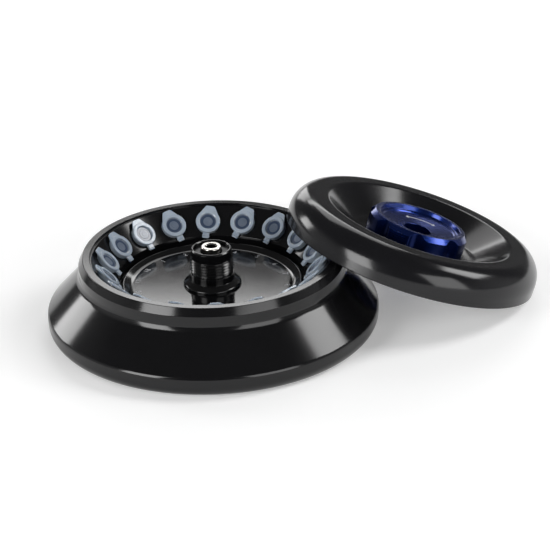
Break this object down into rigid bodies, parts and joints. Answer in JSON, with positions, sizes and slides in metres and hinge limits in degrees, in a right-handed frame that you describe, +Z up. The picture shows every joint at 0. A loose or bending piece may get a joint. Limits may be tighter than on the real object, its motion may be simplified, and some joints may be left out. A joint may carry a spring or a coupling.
{
  "type": "fixed angle rotor",
  "caption": "Bench centrifuge rotor with a ring of angled, capped microtubes in a polished bowl round a threaded hub, and its dished lid with a fluted screw knob leaning on it.",
  "frame": {"origin": "mouth of the drive bore, where the rotor's axis meets the plane it stands on", "axes": "+Z up the rotor's axis, +X towards the side the lid leans on, +Y away from the front"},
  "size_m": [0.2565, 0.1838, 0.0582],
  "materials": {
    "black_anodised_body": "polished, black anodised",
    "black_anodised_hub": "turned, black anodised",
    "dark_steel": "blackened",
    "stainless_steel": "turned",
    "spring_steel": "oiled",
    "polypropylene_tube": "translucent, moulded",
    "polypropylene_cap": "translucent, moulded",
    "black_anodised_lid": "satin, black anodised",
    "seal_rubber": "smooth",
    "blue_anodised": "bright, blue anodised"
  },
  "bodies": {
    "rotor": {"rotor_body": "black_anodised_body", "drive_hub": "black_anodised_hub", "hub_lock_nut": "dark_steel", "screw_retaining_ring": "spring_steel", "lid_shell": "black_anodised_lid", "lid_seal": "seal_rubber", "tube_01": "polypropylene_tube", "tube_02": "polypropylene_tube", "tube_03": "polypropylene_tube", "tube_04": "polypropylene_tube", "tube_05": "polypropylene_tube", "tube_06": "polypropylene_tube", "tube_07": "polypropylene_tube", "tube_08": "polypropylene_tube", "tube_09": "polypropylene_tube", "tube_10": "polypropylene_tube", "tube_11": "polypropylene_tube", "tube_12": "polypropylene_tube", "tube_13": "polypropylene_tube", "tube_14": "polypropylene_tube", "tube_15": "polypropylene_tube", "tube_16": "polypropylene_tube", "tube_17": "polypropylene_tube", "tube_18": "polypropylene_tube", "tube_cap_06": "polypropylene_cap", "tube_cap_07": "polypropylene_cap", "tube_cap_08": "polypropylene_cap"},
    "knob": {"lid_knob": "blue_anodised", "knob_clip": "spring_steel"},
    "screw": {"tie_down_screw": "stainless_steel"},
    "cap_01": {"tube_cap_01": "polypropylene_cap"},
    "cap_02": {"tube_cap_02": "polypropylene_cap"},
    "cap_03": {"tube_cap_03": "polypropylene_cap"},
    "cap_04": {"tube_cap_04": "polypropylene_cap"},
    "cap_05": {"tube_cap_05": "polypropylene_cap"},
    "cap_09": {"tube_cap_09": "polypropylene_cap"},
    "cap_10": {"tube_cap_10": "polypropylene_cap"},
    "cap_11": {"tube_cap_11": "polypropylene_cap"},
    "cap_12": {"tube_cap_12": "polypropylene_cap"},
    "cap_13": {"tube_cap_13": "polypropylene_cap"},
    "cap_14": {"tube_cap_14": "polypropylene_cap"},
    "cap_15": {"tube_cap_15": "polypropylene_cap"},
    "cap_16": {"tube_cap_16": "polypropylene_cap"},
    "cap_17": {"tube_cap_17": "polypropylene_cap"},
    "cap_18": {"tube_cap_18": "polypropylene_cap"}
  },
  "joints": [
    {"name": "lid_knob_turn", "type": "hinge", "parent": "rotor", "child": "knob", "pos_m": [0.10939, 0.03137, 0.03905], "axis": [0.3129, 0.0897, 0.9455], "continuous": true},
    {"name": "tie_down_screw_turn", "type": "hinge", "parent": "rotor", "child": "screw", "pos_m": [0, 0, 0.0333], "axis": [0, 0, 1], "continuous": true},
    {"name": "cap_01_hinge", "type": "hinge", "parent": "rotor", "child": "cap_01", "pos_m": [-0.03256, 0.03513, 0.02553], "axis": [0.7116, 0.7021, 0.0247], "range_deg": [0, 85]},
    {"name": "cap_02_hinge", "type": "hinge", "parent": "rotor", "child": "cap_02", "pos_m": [-0.01723, 0.04487, 0.02566], "axis": [0.8411, 0.5205, 0.147], "range_deg": [0, 60]},
    {"name": "cap_03_hinge", "type": "hinge", "parent": "rotor", "child": "cap_03", "pos_m": [-0.00452, 0.04785, 0.02566], "axis": [0.9848, -0.0922, -0.147], "range_deg": [0, 60]},
    {"name": "cap_04_hinge", "type": "hinge", "parent": "rotor", "child": "cap_04", "pos_m": [0.01118, 0.04701, 0.02587], "axis": [0.8386, -0.4937, -0.2302], "range_deg": [0, 85]},
    {"name": "cap_05_hinge", "type": "hinge", "parent": "rotor", "child": "cap_05", "pos_m": [0.02774, 0.03914, 0.02559], "axis": [0.734, -0.672, -0.0984], "range_deg": [0, 85]},
    {"name": "cap_09_hinge", "type": "hinge", "parent": "rotor", "child": "cap_09", "pos_m": [0.04289, -0.02132, 0.02553], "axis": [-0.4726, -0.8809, -0.0247], "range_deg": [0, 85]},
    {"name": "cap_10_hinge", "type": "hinge", "parent": "rotor", "child": "cap_10", "pos_m": [0.03245, -0.03524, 0.02554], "axis": [-0.7026, -0.7106, 0.037], "range_deg": [0, 85]},
    {"name": "cap_11_hinge", "type": "hinge", "parent": "rotor", "child": "cap_11", "pos_m": [0.01873, -0.04408, 0.02553], "axis": [-0.9141, -0.4052, 0.0123], "range_deg": [0, 85]},
    {"name": "cap_12_hinge", "type": "hinge", "parent": "rotor", "child": "cap_12", "pos_m": [0.00314, -0.0478, 0.02554], "axis": [-0.9991, -0.0188, -0.037], "range_deg": [0, 85]},
    {"name": "cap_13_hinge", "type": "hinge", "parent": "rotor", "child": "cap_13", "pos_m": [-0.01414, -0.04576, 0.02553], "axis": [-0.9639, 0.2652, 0.0247], "range_deg": [0, 85]},
    {"name": "cap_14_hinge", "type": "hinge", "parent": "rotor", "child": "cap_14", "pos_m": [-0.02857, -0.03844, 0.02553], "axis": [-0.7932, 0.6088, -0.0123], "range_deg": [0, 85]},
    {"name": "cap_15_hinge", "type": "hinge", "parent": "rotor", "child": "cap_15", "pos_m": [-0.04025, -0.02597, 0.02553], "axis": [-0.5679, 0.8227, 0.0247], "range_deg": [0, 85]},
    {"name": "cap_16_hinge", "type": "hinge", "parent": "rotor", "child": "cap_16", "pos_m": [-0.04659, -0.01109, 0.02553], "axis": [-0.2163, 0.9762, -0.0123], "range_deg": [0, 85]},
    {"name": "cap_17_hinge", "type": "hinge", "parent": "rotor", "child": "cap_17", "pos_m": [-0.0477, 0.00476, 0.02556], "axis": [0.1911, 0.9788, -0.0739], "range_deg": [0, 85]},
    {"name": "cap_18_hinge", "type": "hinge", "parent": "rotor", "child": "cap_18", "pos_m": [-0.04282, 0.02146, 0.02553], "axis": [0.4618, 0.8869, -0.0123], "range_deg": [0, 85]}
  ]
}
